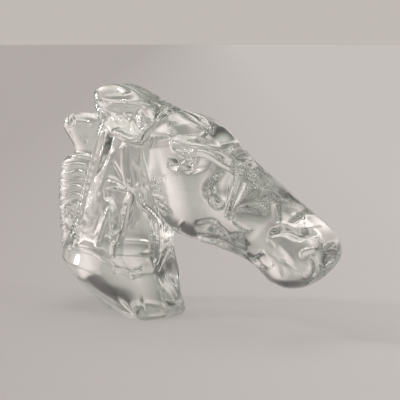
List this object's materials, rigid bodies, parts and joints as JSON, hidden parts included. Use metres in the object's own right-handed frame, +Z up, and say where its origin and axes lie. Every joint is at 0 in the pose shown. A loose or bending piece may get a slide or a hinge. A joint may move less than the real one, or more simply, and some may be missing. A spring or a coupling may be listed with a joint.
{
  "type": "crystal horse head figurine",
  "caption": "Clear glass bust of a horse, head thrust forward and ears laid back over a carved neck with a ribbed mane, standing on the flat underside of its neck.",
  "frame": {"origin": "middle of the flat underside of the neck", "axes": "+Z up, +X towards the nose, +Y to the horse's left"},
  "size_m": [0.1857, 0.0514, 0.1259],
  "materials": {
    "crystal": "polished"
  },
  "bodies": {
    "root": {"horse_head": "crystal"}
  },
  "joints": []
}
